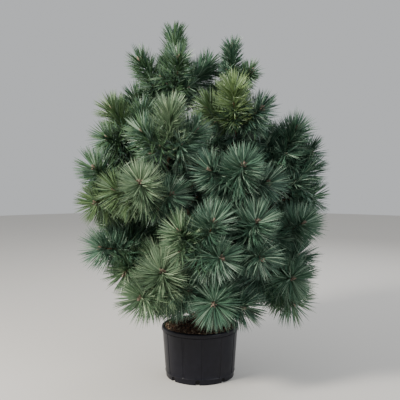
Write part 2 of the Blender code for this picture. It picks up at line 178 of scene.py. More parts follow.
# Bark relief: plates parted by cracks, and a finer roughness
PLATE_SCALE, PLATE_SCALE_UP = 55.0, 20.0
CRACK_SHARPNESS = 2.2
PLATE_LEVEL = 0.75
ROUGH_SCALE = 2.6
ROUGH_NOISE = (0.9, 2.0, 3)
ROUGH_SHARE = 0.25
TRUNK_RELIEF, TRUNK_RELIEF_FADE = 0.0028, 0.75
LIMB_RELIEF, LIMB_RELIEF_FADE = 0.0013, 0.5
LIMB_PROBE = 0.01

# Shoots
SHOOT_LENGTH = 0.235
SIDE_SHARE = 0.80
SIDE_ANGLE = 46.0
SIDE_CLOSING = 0.20
STEEP_RISE = 45.0
LEADER_LENGTH = 0.365
TWIG_RADIUS = 0.0044
FINE_TWIG_SHARE = 0.6
TWIG_TAPER = 0.45
TWIG_SAG = 0.002
TWIG_UNEVEN = (0.86, 1.12)
MAIN_TWIG_RINGS, MAIN_TWIG_SIDES = 10, 8
FINE_TWIG_RINGS, FINE_TWIG_SIDES = 5, 6
TWIG_SEED = 5

# Buds: the share of their length and of their radius at each ring
BUD_SHARES = (0.0, 0.16, 0.34, 0.52, 0.72, 0.88, 1.0)
BUD_SWELL = (0.62, 1.0, 0.90, 0.98, 0.70, 0.46, 0.05)
BUD_SIDES = 6
END_BUD_LENGTH, END_BUD_RADIUS = 0.031, 0.0076
SIDE_BUD_LENGTH, SIDE_BUD_RADIUS = 0.021, 0.0052
SIDE_BUDS = 5
SIDE_BUD_LEAN = 0.60
SIDE_BUD_ASIDE = 0.0056
BUD_SUNK = 0.003
FINE_BUD_SIZE = 0.5

# Finer shoots that grow on from the shoots and the boughs' outer halves
FINE_PER_SHOOT = 3
FINE_PER_LEADER_SHOOT = 7
FINE_PER_LIMB = 5
FINE_LENGTH = 0.085
FINE_ANGLE = 52.0
FINE_TURN = 25.0
FINE_PLACES = (0.12, 0.45)
FINE_LENGTHS = (0.75, 1.2)
INNER_START, INNER_REACH = 0.18, 0.78
INNER_LENGTHS = (0.8, 1.3)
INNER_LIFT = 0.25
INNER_PROBE = 0.02
TRUNK_SHOOTS = 38
TRUNK_SHOOT_HEIGHTS = (0.31, 1.40)
TRUNK_SHOOT_LENGTHS = (0.10, 0.20)
TRUNK_SHOOT_START, TRUNK_SHOOT_TURN, TRUNK_SHOOT_RISE = 255.0, 137.5, 40.0

# Needles, in pairs. For each kind of shoot: its longest needle, its number of pairs, and the
# place of its first pair as a share of the shoot. Some masses have longer or shorter ones.
LEADER_KINDS = {"terminal": "leader", "side": "leader_side"}
LONGEST_NEEDLE = {"terminal": 0.154, "side": 0.144, "fine": 0.110, "inner": 0.112,
                  "leader": 0.152, "leader_side": 0.148}
MASS_LENGTHS = {"second_leader": 0.74, "low_front_left": 1.14, "low_right": 1.12,
                "low_front": 1.06}
BOUGH_NEEDLE_LENGTH = 0.118
HIGH_SHORTENING = 0.17
HIGH_RANGE = (0.95, 1.65)
NEEDLE_WIDTH = 0.0047
PAIRS = {"terminal": 280, "side": 225, "fine": 34, "inner": 36, "leader": 450, "leader_side": 310,
         "bough": 180}
FIRST_NEEDLE = {"terminal": 0.17, "side": 0.20, "fine": 0.15, "inner": 0.15, "leader": 0.12,
                "leader_side": 0.14}
LAST_NEEDLE = 0.98
CROWDING = 0.85
BOUGH_NEEDLES_START = 0.22
BOUGH_PROBE = 0.01
NEEDLE_SEED = 11
PAIR_SPREAD = 0.060
OUTER_LEAN = 88.0
INNER_LEAN = 38.0
BOUGH_LEAN = 66.0
LEAN_JITTER = 9.0
LEAN_RANGE = (3.0, 98.0)
CLOSING, CLOSING_START = 0.56, 15.0
TIP_OPENING = 0.85
LEAN_POWER = 2.0
ROOT_DEPTH = 0.35
BOUGH_ROOT_DEPTH = 0.6
TIP_SHORTENING = 0.08
TIP_POWER = 3
LENGTH_SPREAD = (0.84, 1.04)
PAIR_SPREADS = (0.4, 1.5)
NEEDLE_BEND = 0.035
BEND_SPREAD = (0.2, 1.6)
BEND_ALONG, BEND_LIFT = 0.8, 0.35
NEEDLE_SHOULDER = 0.62
ROOT_WIDTH = 0.85
NEEDLE_RIDGE = 1.1
NEEDLE_SIDES = 3
NEEDLE_POINTS = 2 * NEEDLE_SIDES + 1
WIDTH_SPREAD = (0.8, 1.1)
SHORTEST_NEEDLE = 0.045
POT_CLEAR = 0.004
PIECE_LIMIT = 19000
BOX_MARGIN = 0.004

# A bough's tip: its bearing, its reach from the pot's axis and its height. Its terminal
# shoot: heading and rise. Its side shoots: the turn of the first one, and how many.
Bough = namedtuple("Bough", "name bearing reach height heading rise turn side_shoots")

# The side that was seen comes first.
BOUGHS = (
    Bough("low_front_left", -42, 0.269, 0.487, 1, 36, 250, 3),
    Bough("low_left", -71, 0.309, 0.683, -57, 7, 35, 2),
    Bough("low_front", 24, 0.208, 0.48, -5, 0, 255, 1),
    Bough("low_right", 82, 0.374, 0.533, 20, 9, 80, 3),
    Bough("front_right", 35, 0.34, 0.731, 20, 36, 10, 2),
    Bough("front", 0, 0.33, 0.686, 24, 51, 70, 3),
    Bough("right", 81, 0.367, 0.729, 43, 26, 100, 2),
    Bough("front_left", -50, 0.341, 0.93, -4, 30, 85, 2),
    Bough("left", -76, 0.414, 0.956, -37, 40, 5, 2),
    Bough("high_right", 90, 0.409, 0.932, 82, 47, 20, 2),
    Bough("high_front_right", 30, 0.322, 1.003, 10, 32, 75, 2),
    Bough("upper_right", 90, 0.397, 1.105, 42, 56, 60, 2),
    Bough("upper_front", -29, 0.319, 1.147, 11, 70, 90, 2),
    Bough("upper_left", -81, 0.317, 1.204, -78, 55, 212, 3),
    Bough("shoulder_front", 56, 0.213, 1.289, -7, 55, 85, 2),
    Bough("second_leader", 101, 0.16, 1.491, 4, 68, 225, 1),
    Bough("low_back_right", 125, 0.25, 0.51, 125, 15, 60, 3),
    Bough("low_back", 180, 0.24, 0.52, 180, 15, 0, 3),
    Bough("low_back_left", 235, 0.25, 0.49, 235, 10, 60, 3),
    Bough("back_right", 110, 0.35, 0.8, 110, 25, 0, 3),
    Bough("back_mid_right", 150, 0.34, 0.76, 150, 30, 60, 3),
    Bough("back_mid_left", 204, 0.34, 0.74, 204, 25, 0, 3),
    Bough("back_left", 254, 0.30, 0.81, 254, 30, 60, 3),
    Bough("high_back_right", 126, 0.34, 1.09, 126, 45, 0, 2),
    Bough("high_back", 180, 0.33, 1.037, 180, 45, 60, 2),
    Bough("high_back_left", 224, 0.31, 1.13, 224, 50, 0, 2),
    Bough("upper_back_right", 150, 0.21, 1.31, 150, 60, 0, 2),
    Bough("upper_back_left", -109, 0.33, 1.247, -8, 64, 55, 2),
)
LEADER = Bough("leader", -95, 0.142, 1.412, 80, 88, 20, 4)

# Needle tints as plain base colours, and the paler one that mixes into each as painted glints and
# the deeper one that mixes in as painted shade; the sunlit tint and the pale blue-green glint
# tint are only painted glints, the deep tint only painted shade
TINTS = {
    "sunlit": (0.350, 0.455, 0.285),
    "glint_blue_green": (0.215, 0.310, 0.225),
    "lime": (0.205, 0.300, 0.118),
    "pale": (0.172, 0.250, 0.152),
    "olive": (0.128, 0.202, 0.088),
    "grey_green": (0.112, 0.188, 0.106),
    "green": (0.082, 0.155, 0.074),
    "blue_green": (0.072, 0.148, 0.094),
    "teal": (0.055, 0.122, 0.083),
    "deep": (0.026, 0.058, 0.036),
}
GLINT_TINT_OF = {"lime": "sunlit", "pale": "sunlit", "olive": "pale", "grey_green": "sunlit",
         "green": "glint_blue_green", "blue_green": "glint_blue_green", "teal": "glint_blue_green", "deep": "green"}
SHADE_TINT_OF = {"lime": "olive", "pale": "grey_green", "olive": "green", "grey_green": "green",
          "green": "teal", "blue_green": "teal", "teal": "deep", "deep": "deep"}

# The tint of each mass's terminal shoot, then of its side shoots in turn: partly the needles' own
# greens, partly painted light and shade, warmer and paler on the sunlit masses at the left and
# front, bluer on the shaded masses at the right
MASS_TINTS = {
    "leader": ("green", "green", "green", "blue_green", "teal"),
    "second_leader": ("blue_green", "green"),
    "shoulder_front": ("lime", "olive", "teal"),
    "upper_front": ("pale", "green", "blue_green"),
    "upper_left": ("olive", "green", "green", "olive"),
    "upper_back_left": ("green", "green", "grey_green"),
    "upper_right": ("blue_green", "teal", "teal"),
    "high_front_right": ("blue_green", "teal", "teal"),
    "high_right": ("teal", "teal", "blue_green"),
    "left": ("green", "green", "olive"),
    "front_left": ("pale", "olive", "blue_green"),
    "right": ("blue_green", "teal", "green"),
    "front": ("blue_green", "grey_green", "blue_green", "teal"),
    "front_right": ("blue_green", "teal", "teal"),
    "low_left": ("blue_green", "green", "grey_green"),
    "low_front_left": ("pale", "blue_green", "grey_green", "grey_green"),
    "low_front": ("blue_green", "teal"),
    "low_right": ("blue_green", "teal", "green", "teal"),
}
# Shares of each spray's needles dealt out at random to the paler tint, as painted glints, and to
# the deeper tint, as painted shade
GLINT_SHARE = 0.22
SHADED_SHARE = 0.24
NEEDLE_ROUGHNESS = 0.42
TINT_SPREAD = 0.18
# The dark tints of the crown's inside, on the inner shoots, on a share of the fine shoots and on
# the boughs' older needles, are painted shade
SHADED_FINE_SHARE = 0.42
INNER_SHADE_TINTS = ("deep", "deep", "teal")
BOUGH_SHADE_TINTS = ("deep", "teal", "green")

# On the far side: how far to the right a shoot's tip lies at most, and its tints, warmer and
# paler to the left as painted sunlight from the key's side and bluer to the right as painted
# shade
SUN_AND_SHADE_SIDE_TINTS = (
    (-0.38, ("grey_green", "olive")),
    (-0.12, ("grey_green", "green")),
    (0.15, ("green", "blue_green", "grey_green")),
    (math.inf, ("blue_green", "teal", "green")),
)

# Floor and light: each lamp's place, target, size, power and colour
FLOOR_RADIUS = 9.0
FLOOR_SEGMENTS = 96
FLOOR_DROP = 0.0005
FLOOR_COLOUR = (0.62, 0.60, 0.57, 1.0)
FLOOR_ROUGHNESS = 0.85
LAMPS = {
    "key": ((-3.3, -2.6, 3.5), (0.0, 0.0, 0.9), 0.9, 420.0, (1.0, 0.95, 0.86)),
    "fill": ((3.2, -2.6, 2.0), (0.0, 0.0, 0.8), 2.6, 70.0, (0.90, 0.95, 1.0)),
    "back": ((1.6, 3.4, 3.2), (0.0, 0.0, 0.9), 2.2, 70.0, (0.95, 0.97, 1.0)),
}
SKY_COLOUR = (0.86, 0.88, 0.90, 1.0)
SKY_STRENGTH = 0.64

# Finishes: the grain's scale, detail and stretch, its coloured stops, roughness and bump
Finish = namedtuple("Finish", "scale detail stretch stops roughness bump bump_depth")
EVEN = (1.0, 1.0, 1.0)
FINISHES = {
    "pine_bark": Finish(46.0, 8.0, (1.0, 1.0, 0.35), (
        (0.30, (0.060, 0.034, 0.022)), (0.48, (0.165, 0.095, 0.058)),
        (0.62, (0.215, 0.150, 0.105)), (0.80, (0.300, 0.240, 0.190))), 0.88, 0.7, 0.002),
    "young_twig": Finish(90.0, 5.0, (1.0, 1.0, 0.5), (
        (0.30, (0.110, 0.060, 0.032)), (0.70, (0.235, 0.145, 0.075))), 0.75, 0.6, 0.001),
    "bud_scales": Finish(260.0, 4.0, EVEN, (
        (0.35, (0.145, 0.100, 0.074)), (0.60, (0.265, 0.200, 0.152)),
        (0.75, (0.450, 0.390, 0.325))), 0.65, 0.5, 0.001),
}
MULCH_FINISH = Finish(120.0, 6.0, EVEN, None, 0.93, 0.7, 0.0015)
MULCH_STOPS = (0.30, 0.72)
POT_MOTTLE = Finish(34.0, 5.0, EVEN, (
    (0.30, (0.005, 0.005, 0.009)), (0.70, (0.008, 0.008, 0.013))), None, 0.25, 0.0005)
POT_ROUGH_SCALE, POT_ROUGH_DETAIL = 12.0, 3.0
POT_ROUGHNESS = (0.27, 0.42)
POT_SPECULAR = 0.22
POT_GRAIN_SCALE, POT_GRAIN_DETAIL = 420.0, 2.0


# The least length to divide by, and how upright a path may be before another guide is used
TINY = 1e-6
UPRIGHT = 0.95


def direction(bearing, rise):
    """The unit vector of a bearing and a rise, both in degrees."""
    flat = math.cos(math.radians(rise))
    turn = math.radians(bearing)
    return Vector((flat * math.sin(turn), -flat * math.cos(turn), math.sin(math.radians(rise))))


def side_axes(along):
    """Two unit vectors square to a direction: one level, one over it."""
    level = along.cross(Vector((0.0, 0.0, 1.0)))
    if level.length < TINY:
        level = Vector((1.0, 0.0, 0.0))
    level.normalize()
    return level, level.cross(along)


# Camera, floor and light

def make_camera():
    """A camera at the height, distance and tilt that the pot's ellipses give."""
    data = bpy.data.cameras.new("camera")
    data.sensor_width = SENSOR_MM
    data.lens = FOCAL_PIXELS / IMAGE_PIXELS * SENSOR_MM
    camera = bpy.data.objects.new("camera", data)
    camera.location = (0.0, -CAMERA_DISTANCE, CAMERA_HEIGHT)
    camera.rotation_euler = (math.radians(90.0 - CAMERA_TILT), 0.0, 0.0)
    bpy.context.scene.collection.objects.link(camera)
    bpy.context.scene.camera = camera


def make_floor():
    """A plain pale floor."""
    shape = bmesh.new()
    bmesh.ops.create_circle(shape, cap_ends=True, segments=FLOOR_SEGMENTS, radius=FLOOR_RADIUS)
    mesh = bpy.data.meshes.new("floor")
    shape.to_mesh(mesh)
    shape.free()
    floor = bpy.data.objects.new("floor", mesh)
    floor.location.z = -FLOOR_DROP
    bpy.context.scene.collection.objects.link(floor)
    made, _, shader = new_material("floor_pale")
    shader.inputs["Base Color"].default_value = FLOOR_COLOUR
    shader.inputs["Roughness"].default_value = FLOOR_ROUGHNESS
    mesh.materials.append(made)
    floor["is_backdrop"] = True


def make_light():
    """A warm key from the upper left, a faint fill and a back light, under a pale sky."""
    for name, (place, target, size, power, colour) in LAMPS.items():
        data = bpy.data.lights.new(name, "AREA")
        data.size = size
        data.energy = power
        data.color = colour
        light = bpy.data.objects.new(name, data)
        light.location = place
        away = Vector(target) - Vector(place)
        light.rotation_euler = away.to_track_quat("-Z", "Y").to_euler()
        bpy.context.scene.collection.objects.link(light)
    world = bpy.data.worlds.new("studio")
    world.use_nodes = True
    world.node_tree.nodes["Background"].inputs["Color"].default_value = SKY_COLOUR
    world.node_tree.nodes["Background"].inputs["Strength"].default_value = SKY_STRENGTH
    bpy.context.scene.world = world


# Materials

def new_material(name):
    """A Principled material and its node tree."""
    made = bpy.data.materials.new(name)
    made.use_nodes = True
    return made, made.node_tree, made.node_tree.nodes["Principled BSDF"]


def colour_ramp(tree, source, stops):
    """A ramp from a source value through coloured stops."""
    ramp = tree.nodes.new("ShaderNodeValToRGB")
    tree.links.new(source, ramp.inputs["Fac"])
    elements = ramp.color_ramp.elements
    while len(elements) < len(stops):
        elements.new(0.5)
    for element, (place, colour) in zip(elements, stops):
        element.position = place
        element.color = (*colour, 1.0)
    return ramp.outputs["Color"]


def add_bump(tree, shader, height, strength, distance):
    """Bump from a height value."""
    bump = tree.nodes.new("ShaderNodeBump")
    bump.inputs["Strength"].default_value = strength
    bump.inputs["Distance"].default_value = distance
    tree.links.new(height, bump.inputs["Height"])
    tree.links.new(bump.outputs["Normal"], shader.inputs["Normal"])


def place_noise(tree, scale, detail, stretch=EVEN):
    """Noise in the object's own metres."""
    coords = tree.nodes.new("ShaderNodeTexCoord")
    mapping = tree.nodes.new("ShaderNodeMapping")
    mapping.inputs["Scale"].default_value = stretch
    tree.links.new(coords.outputs["Object"], mapping.inputs["Vector"])
    texture = tree.nodes.new("ShaderNodeTexNoise")
    texture.inputs["Scale"].default_value = scale
    texture.inputs["Detail"].default_value = detail
    tree.links.new(mapping.outputs["Vector"], texture.inputs["Vector"])
    return texture.outputs["Fac"]


def pot_material():
    """Black moulded plastic: satin and faintly mottled."""
    made, tree, shader = new_material("pot_plastic")
    mottle = place_noise(tree, POT_MOTTLE.scale, POT_MOTTLE.detail)
    tree.links.new(colour_ramp(tree, mottle, POT_MOTTLE.stops), shader.inputs["Base Color"])
    spread = tree.nodes.new("ShaderNodeMapRange")
    spread.inputs["To Min"].default_value, spread.inputs["To Max"].default_value = POT_ROUGHNESS
    tree.links.new(place_noise(tree, POT_ROUGH_SCALE, POT_ROUGH_DETAIL), spread.inputs["Value"])
    tree.links.new(spread.outputs["Result"], shader.inputs["Roughness"])
    shader.inputs["Specular IOR Level"].default_value = POT_SPECULAR
    grain = place_noise(tree, POT_GRAIN_SCALE, POT_GRAIN_DETAIL)
    add_bump(tree, shader, grain, POT_MOTTLE.bump, POT_MOTTLE.bump_depth)
    return made


def grained_material(name):
    """Bark, young wood or bud scales: colour and bump from one grain."""
    finish = FINISHES[name]
    made, tree, shader = new_material(name)
    grain = place_noise(tree, finish.scale, finish.detail, finish.stretch)
    tree.links.new(colour_ramp(tree, grain, finish.stops), shader.inputs["Base Color"])
    shader.inputs["Roughness"].default_value = finish.roughness
    add_bump(tree, shader, grain, finish.bump, finish.bump_depth)
    return made


def mulch_material(name, dark, light):
    """Bark mulch, streaked along the grain, over black compost."""
    made, tree, shader = new_material(name)
    grain = place_noise(tree, MULCH_FINISH.scale, MULCH_FINISH.detail)
    colour = colour_ramp(tree, grain, tuple(zip(MULCH_STOPS, (dark, light))))
    coords = tree.nodes.new("ShaderNodeTexCoord")
    split = tree.nodes.new("ShaderNodeSeparateXYZ")
    tree.links.new(coords.outputs["Object"], split.inputs["Vector"])
    depth = tree.nodes.new("ShaderNodeMapRange")
    depth.inputs["From Min"].default_value = SOIL_TOP - COMPOST_DEPTH
    depth.inputs["From Max"].default_value = SOIL_TOP - MULCH_MOUND
    tree.links.new(split.outputs["Z"], depth.inputs["Value"])
    blend = tree.nodes.new("ShaderNodeMix")
    blend.data_type = "RGBA"
    blend.inputs["A"].default_value = (*COMPOST_COLOUR, 1.0)
    tree.links.new(depth.outputs["Result"], blend.inputs["Factor"])
    tree.links.new(colour, blend.inputs["B"])
    tree.links.new(blend.outputs["Result"], shader.inputs["Base Color"])
    shader.inputs["Roughness"].default_value = MULCH_FINISH.roughness
    add_bump(tree, shader, grain, MULCH_FINISH.bump, MULCH_FINISH.bump_depth)
    return made


def needle_material(tint):
    """Waxy needles in one plain colour."""
    made, _, shader = new_material("needles_" + tint)
    shader.inputs["Base Color"].default_value = (*TINTS[tint], 1.0)
    shader.inputs["Roughness"].default_value = NEEDLE_ROUGHNESS
    return made


# Meshes from arrays

def add_piece(name, mesh, finish, nodes=()):
    """A piece of the plant, which rides on the one body."""
    piece = bpy.data.objects.new(name, mesh)
    bpy.context.scene.collection.objects.link(piece)
    mesh.materials.append(finish)
    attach(piece, "root")
    if nodes:
        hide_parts(*nodes)
    return piece


def mesh_of_polygons(name, points, corners, sizes, smooth=True):
    """A mesh from arrays: points, the corners of all polygons in a row, and each one's size."""
    mesh = bpy.data.meshes.new(name)
    mesh.vertices.add(len(points))
    mesh.vertices.foreach_set("co", np.asarray(points, dtype=np.float32).ravel())
    mesh.loops.add(len(corners))
    mesh.loops.foreach_set("vertex_index", np.asarray(corners, dtype=np.int32))
    mesh.polygons.add(len(sizes))
    sizes = np.asarray(sizes, dtype=np.int32)
    starts = np.concatenate(([0], np.cumsum(sizes)[:-1])).astype(np.int32)
    mesh.polygons.foreach_set("loop_start", starts)
    mesh.polygons.foreach_set("use_smooth", np.full(len(sizes), smooth))
    mesh.update(calc_edges=True)
    mesh.validate()
    return mesh


def grid_corners(rows, columns, first):
    """The polygons of a closed tube of rings: quads, with a cap at each end."""
    corners, sizes = [], []
    here = np.arange(columns)
    after = (here + 1) % columns
    for row in range(rows - 1):
        low, high = first + row * columns, first + (row + 1) * columns
        quads = np.stack([low + here, low + after, high + after, high + here], axis=1)
        corners.append(quads.ravel())
        sizes.append(np.full(columns, 4))
    corners.append(first + here[::-1])
    corners.append(first + (rows - 1) * columns + here)
    sizes.append(np.array([columns, columns]))
    return np.concatenate(corners), np.concatenate(sizes)


class Tubes:
    """Many tubes gathered into one mesh."""

    def __init__(self):
        self.points, self.corners, self.sizes, self.count = [], [], [], 0

    def add(self, rings):
        """One tube from rings of points, an array of rows by columns by 3."""
        rows, columns = rings.shape[:2]
        corners, sizes = grid_corners(rows, columns, self.count)
        self.points.append(rings.reshape(-1, 3))
        self.corners.append(corners)
        self.sizes.append(sizes)
        self.count += rows * columns

    def mesh(self, name):
        """The mesh of all tubes."""
        return mesh_of_polygons(name, np.concatenate(self.points), np.concatenate(self.corners),
                                np.concatenate(self.sizes))


def tube_rings(centres, radii, sides):
    """Rings round a path, square to it, with a radius for each ring or each point."""
    centres = np.asarray(centres)
    ways = np.gradient(centres, axis=0)
    ways /= np.linalg.norm(ways, axis=1)[:, None]
    guide = np.array([0.0, 0.0, 1.0])
    if abs(ways[:, 2]).max() > UPRIGHT:
        guide = np.array([0.0, 1.0, 0.0])
    level = np.cross(ways, guide)
    level /= np.linalg.norm(level, axis=1)[:, None]
    over = np.cross(level, ways)
    angles = np.arange(sides) * 2.0 * math.pi / sides
    spokes = (np.cos(angles)[None, :, None] * level[:, None, :]
              + np.sin(angles)[None, :, None] * over[:, None, :])
    radii = np.asarray(radii)
    if radii.ndim == 1:
        radii = radii[:, None]
    return centres[:, None, :] + spokes * radii[:, :, None]


# The pot

def wall_offset(angle):
    """How far the wall lies in at an angle in degrees: the grooves between its panels."""
    pitch = 360.0 / PANELS
    off = (angle - PANEL_START + pitch / 2.0) % pitch - pitch / 2.0
    depth = (GROOVE_WIDTH / 2.0 + GROOVE_EDGE - abs(off)) / (2.0 * GROOVE_EDGE)
    return GROOVE_DEPTH * min(max(depth, 0.0), 1.0)


def edge_points(radius, height, steps):
    """A rounded edge of the pot's section, free of grooves."""
    return [(radius + out, height + up, 0.0) for out, up in steps]


def pot_profile():
    """The pot's section as radius, height and share of the grooves' depth, from the foot
    up the outside, over the rolled rim and down the inside."""
    rim_foot = POT_HEIGHT - RIM_BAND
    wall_top = rim_foot - RIM_NECK_HEIGHT
    bead, neck = WALL_FOOT_RADIUS + BEAD_OUT, WALL_TOP_RADIUS - RIM_NECK
    points = [(BASE_RADIUS - FOOT_BEVEL, 0.0, 0.0), (BASE_RADIUS, FOOT_BEVEL, 0.0)]
    points += edge_points(BASE_RADIUS, BASE_RING, RING_EDGE)
    points += [(bead - BEAD_UNDER, BASE_RING, 0.0), (bead, BASE_RING + BEAD_LOW, 0.0),
               (WALL_FOOT_RADIUS, BASE_RING + BEAD_HIGH, 1.0)]
    for step in range(1, WALL_STEPS + 1):
        share = step / WALL_STEPS
        height = BASE_RING + share * (wall_top - BASE_RING)
        radius = WALL_FOOT_RADIUS + share * (WALL_TOP_RADIUS - WALL_FOOT_RADIUS)
        points.append((radius, height, 1.0))
    points += [(neck, wall_top + RIM_NECK_EASE, 0.0), (neck, rim_foot, 0.0)]
    points += edge_points(RIM_RADIUS, rim_foot, BAND_EDGE)
    points.append((RIM_RADIUS - RIM_SLOPE, POT_HEIGHT - RIM_LIP, 0.0))
    for step in range(1, LIP_STEPS + 1):
        turn = math.pi / 2.0 * step / LIP_STEPS
        radius = RIM_RADIUS - RIM_SLOPE - RIM_LIP + RIM_LIP * math.cos(turn)
        points.append((radius, POT_HEIGHT - RIM_LIP + RIM_LIP * math.sin(turn), 0.0))
    inside_top = WALL_TOP_RADIUS - GROOVE_DEPTH - POT_WALL
    points += edge_points(inside_top, POT_HEIGHT, INNER_EDGE)
    points += [(inside_top - INSIDE_TAPER, SOIL_TOP - INSIDE_DEPTH, 0.0),
               (BASE_RADIUS - POT_WALL - INSIDE_FLOOR_INSET, POT_WALL, 0.0)]
    return points


def drain_cutter(bearing):
    """A block with a rounded head that cuts one drain hole through the foot of the wall."""
    half = DRAIN_WIDTH / 2.0
    head = half * DRAIN_SQUASH
    outline = [(-half, -DRAIN_BELOW), (half, -DRAIN_BELOW)]
    for step in range(DRAIN_STEPS + 1):
        turn = math.pi * step / DRAIN_STEPS
        outline.append((half * math.cos(turn), DRAIN_HEIGHT - head + head * math.sin(turn)))
    out, across = direction(bearing, 0.0), direction(bearing + 90.0, 0.0)
    shape = bmesh.new()
    rings = []
    for reach in (BASE_RADIUS - DRAIN_INWARD, BASE_RADIUS + DRAIN_OUTWARD):
        points = [out * reach + across * x + Vector((0.0, 0.0, z)) for x, z in outline]
        rings.append([shape.verts.new(point) for point in points])
    low, high = rings
    for here in range(len(low)):
        after = (here + 1) % len(low)
        shape.faces.new((low[here], low[after], high[after], high[here]))
    shape.faces.new(low)
    shape.faces.new(high)
    bmesh.ops.recalc_face_normals(shape, faces=shape.faces)
    mesh = bpy.data.meshes.new("drain_cutter")
    shape.to_mesh(mesh)
    shape.free()
    cutter = bpy.data.objects.new("drain_cutter", mesh)
    bpy.context.scene.collection.objects.link(cutter)
    return cutter


def make_pot(finish):
    """The pot, finely turned, with its drain holes cut through."""
    angles = [360.0 * step / POT_STEPS for step in range(POT_STEPS)]
    offsets = np.array([wall_offset(angle) for angle in angles])
    turns = np.radians(angles)
    around = np.stack([np.sin(turns), -np.cos(turns), np.zeros(POT_STEPS)], axis=1)
    rings = []
    for radius, height, groove in pot_profile():
        ring = around * (radius - offsets * groove)[:, None]
        ring[:, 2] = height
        rings.append(ring)
    tubes = Tubes()
    tubes.add(np.array(rings))
    pot = add_piece("pot_shell", tubes.mesh("pot_shell"), finish, ["pot"])
    for hole in range(DRAIN_HOLES):
        cutter = drain_cutter(DRAIN_START + 360.0 * hole / DRAIN_HOLES)
        change = pot.modifiers.new("drain", "BOOLEAN")
        change.object = cutter
        change.operation = "DIFFERENCE"
        change.solver = "EXACT"
        bpy.context.view_layer.update()
        graph = bpy.context.evaluated_depsgraph_get()
        result = bpy.data.meshes.new_from_object(pot.evaluated_get(graph))
        pot.modifiers.clear()
        pot.data = result
        bpy.data.objects.remove(cutter)
    pot.data.shade_smooth()
    pot.data.set_sharp_from_angle(angle=math.radians(POT_SHARP_ANGLE))


# Mulch

def mulch_height(x, y):
    """The lumpy top of the mulch."""
    mound = SOIL_TOP - MULCH_MOUND * min(math.hypot(x, y) / MULCH_MOUND_RADIUS, 1.0) ** 2
    place = Vector((x * MULCH_LUMP_SCALE, y * MULCH_LUMP_SCALE, MULCH_LUMP_LAYER))
    return mound + MULCH_LUMP * noise.fractal(place, *MULCH_LUMP_NOISE)


def mulch_surface(edge):
    """The filling's closed mesh: rings of the lumpy top, and a skirt down to the pot's floor."""
    rows, columns = MULCH_RINGS, MULCH_COLUMNS
    points, corners, sizes = [(0.0, 0.0, SOIL_TOP)], [], []
    turns = [2.0 * math.pi * column / columns for column in range(columns)]
    for row in range(1, rows + 1):
        for turn in turns:
            x, y = edge * row / rows * math.cos(turn), edge * row / rows * math.sin(turn)
            points.append((x, y, mulch_height(x, y)))
    for column in range(columns):
        after = (column + 1) % columns
        corners += [0, 1 + column, 1 + after]
        sizes.append(3)
        for row in range(rows - 1):
            low, high = 1 + row * columns, 1 + (row + 1) * columns
            corners += [low + column, high + column, high + after, low + after]
            sizes.append(4)
    skirt = len(points)
    foot = MULCH_FOOT_SHARE * edge
    points += [(foot * math.cos(turn), foot * math.sin(turn), MULCH_FOOT) for turn in turns]
    last = 1 + (rows - 1) * columns
    for column in range(columns):
        after = (column + 1) % columns
        corners += [last + column, skirt + column, skirt + after, last + after]
        sizes.append(4)
    corners += [skirt + column for column in reversed(range(columns))]
    sizes.append(columns)
    return mesh_of_polygons("mulch_fines", points, corners, sizes)


def make_mulch():
    """The mulch's surface and the bark bits that lie on it, in three colours."""
    edge = WALL_TOP_RADIUS - GROOVE_DEPTH - POT_WALL - MULCH_CLEAR
    soil = mulch_material("mulch_fines", MULCH_DARK, MULCH_LIGHT)
    add_piece("mulch_fines", mulch_surface(edge), soil, ["soil"])
    chance = random.Random("mulch")
    for name, dark, light, part in CHIP_KINDS:
        tubes = Tubes()
        for _ in range(int(MULCH_CHIPS * part)):
            tubes.add(mulch_chip(chance, edge))
        add_piece(name, tubes.mesh(name), mulch_material(name, dark, light))


def mulch_chip(chance, edge):
    """One flat bit of bark: a ragged plate that lies on the mulch."""
    shortest, longer = CHIP_LENGTHS
    length = shortest + longer * chance.random() ** CHIP_SMALLNESS
    width = length * chance.uniform(*CHIP_WIDTHS)
    thick = chance.uniform(*CHIP_THICKNESSES)
    radius = (edge - length * CHIP_INSET) * math.sqrt(chance.random())
    turn = chance.uniform(0.0, 2.0 * math.pi)
    x, y = radius * math.cos(turn), radius * math.sin(turn)
    spin = chance.uniform(0.0, CHIP_SPIN)
    tilt_x, tilt_y = chance.gauss(0.0, CHIP_TILT), chance.gauss(0.0, CHIP_TILT)
    outline = []
    for corner in range(CHIP_CORNERS):
        angle = 2.0 * math.pi * corner / CHIP_CORNERS
        ragged = chance.uniform(*CHIP_RAGGED) / 2.0
        outline.append((ragged * length * math.cos(angle), ragged * width * math.sin(angle)))
    base = mulch_height(x, y) + thick * chance.uniform(*CHIP_LIFTS)
    rings = []
    for level, shrink in CHIP_LEVELS:
        ring = []
        for u, v in outline:
            across = shrink * (u * math.cos(spin) - v * math.sin(spin))
            ahead = shrink * (u * math.sin(spin) + v * math.cos(spin))
            height = base + level * thick + across * tilt_x + ahead * tilt_y
            ring.append((x + across, y + ahead, height))
        rings.append(ring)
    return np.array(rings)


# Trunk and boughs

def node_of(bough):
    """The node at a bough's tip, where its side shoots spring, and the terminal direction."""
    flat = direction(bough.bearing, 0.0) * bough.reach
    return flat + Vector((0.0, 0.0, bough.height)), direction(bough.heading, bough.rise)


def trunk_top():
    """The centre of the trunk's top, just under the leader's node."""
    node, along = node_of(LEADER)
    return node - along * (NODE_BACK + GAP / 2.0)


def trunk_centre(height):
    """The trunk's centre line: a lean with a gentle sway."""
    foot, top = SOIL_TOP + GAP, trunk_top()
    share = max(height - foot, 0.0) / (top.z - foot)
    lean = Vector((top.x, top.y, 0.0)) * share ** LEAN_CURVE
    sway = TRUNK_SWAY * math.sin(2.0 * math.pi * share) * (1.0 - SWAY_FADE * share)
    return lean + Vector((SWAY_ACROSS * sway, sway, height))


